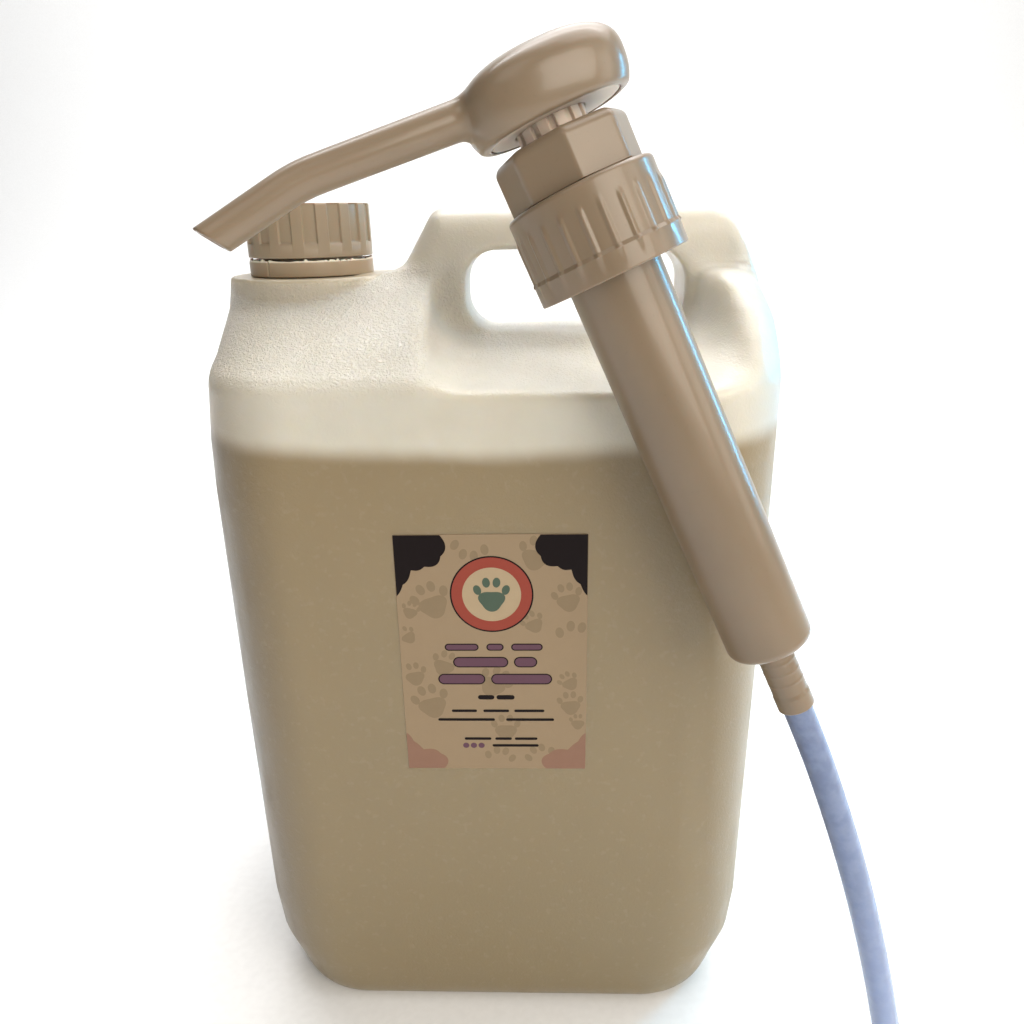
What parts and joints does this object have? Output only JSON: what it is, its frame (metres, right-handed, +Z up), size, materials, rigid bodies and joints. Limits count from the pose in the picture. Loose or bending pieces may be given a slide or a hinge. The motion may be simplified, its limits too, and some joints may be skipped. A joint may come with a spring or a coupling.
{
  "type": "jerrycan with dispensing pump",
  "caption": "Squarish plastic jerrycan of pet conditioner with a side grip and ribbed screw cap, and a long-spouted piston dispensing pump with its dip tube leaning on its front.",
  "frame": {"origin": "middle of the can's flat base, on the surface it stands on", "axes": "+Z up; +X to the right across the wide labelled front, away from the neck; -Y out of the labelled front, towards the viewer"},
  "size_m": [0.2352, 0.1634, 0.3323],
  "materials": {
    "can_hdpe": "natural translucent HDPE, fine orange-peel texture",
    "conditioner": null,
    "label_film": null,
    "cap_plastic": "satin moulded polypropylene",
    "liner_foam": "foamed polyethylene",
    "clear_tube": "clear bluish polyethylene",
    "pump_plastic": "glossy moulded polypropylene",
    "inner_plastic": "pale satin polypropylene",
    "seal_rubber": "soft natural elastomer",
    "valve_steel": "polished stainless steel",
    "spring_steel": "drawn stainless wire"
  },
  "bodies": {
    "can": {"can_body": "can_hdpe", "threaded_neck": "can_hdpe", "conditioner_fill": "conditioner", "tamper_band": "cap_plastic", "front_label": "label_film"},
    "cap_carrier": {"cap_liner": "liner_foam"},
    "cap": {"cap": "cap_plastic"},
    "pump": {"barrel": "pump_plastic", "guide_nut": "pump_plastic", "stem_wiper": "seal_rubber", "neck_gasket": "seal_rubber", "inlet_cage": "pump_plastic", "return_spring": "spring_steel", "tube_connector": "pump_plastic", "dip_tube": "clear_tube"},
    "closure": {"closure": "pump_plastic"},
    "plunger": {"piston": "inner_plastic", "piston_seal": "seal_rubber"},
    "head": {"stem": "inner_plastic", "pump_head": "pump_plastic", "head_base": "inner_plastic", "lock_sleeve": "inner_plastic", "outlet_seat": "inner_plastic"},
    "inlet_ball": {"inlet_ball": "valve_steel"},
    "outlet_ball": {"outlet_ball": "valve_steel"}
  },
  "joints": [
    {"name": "cap_rise", "type": "slide", "parent": "can", "child": "cap_carrier", "axis": [0, 0, 1], "range_m": [0, 0.017]},
    {"name": "cap_turn", "type": "hinge", "parent": "cap_carrier", "child": "cap", "pos_m": [-0.0635, 0, 0.28], "axis": [0, 0, 1], "range_deg": [0, 1440]},
    {"name": "pump_lift", "type": "slide", "parent": "can", "child": "pump", "axis": [-0.4107, 0.0821, 0.9081], "range_m": [0, 0.12]},
    {"name": "closure_spin", "type": "hinge", "parent": "pump", "child": "closure", "pos_m": [0.09169, -0.08666, 0.14944], "axis": [-0.4107, 0.0821, 0.9081], "continuous": true},
    {"name": "head_rise", "type": "slide", "parent": "pump", "child": "plunger", "axis": [-0.4107, 0.0821, 0.9081], "range_m": [0, 0.072], "deforming": ["return_spring"]},
    {"name": "head_swivel", "type": "hinge", "parent": "plunger", "child": "head", "pos_m": [0.09169, -0.08666, 0.14944], "axis": [-0.4107, 0.0821, 0.9081], "range_deg": [0, 180]},
    {"name": "inlet_ball_lift", "type": "slide", "parent": "pump", "child": "inlet_ball", "axis": [-0.4107, 0.0821, 0.9081], "range_m": [0, 0.0025]},
    {"name": "outlet_ball_lift", "type": "slide", "parent": "head", "child": "outlet_ball", "axis": [-0.4107, 0.0821, 0.9081], "range_m": [0, 0.002]}
  ],
  "couplings": [
    {"joint": "cap_rise", "follows": "cap_turn", "m_per_rad": 0.0006737}
  ]
}
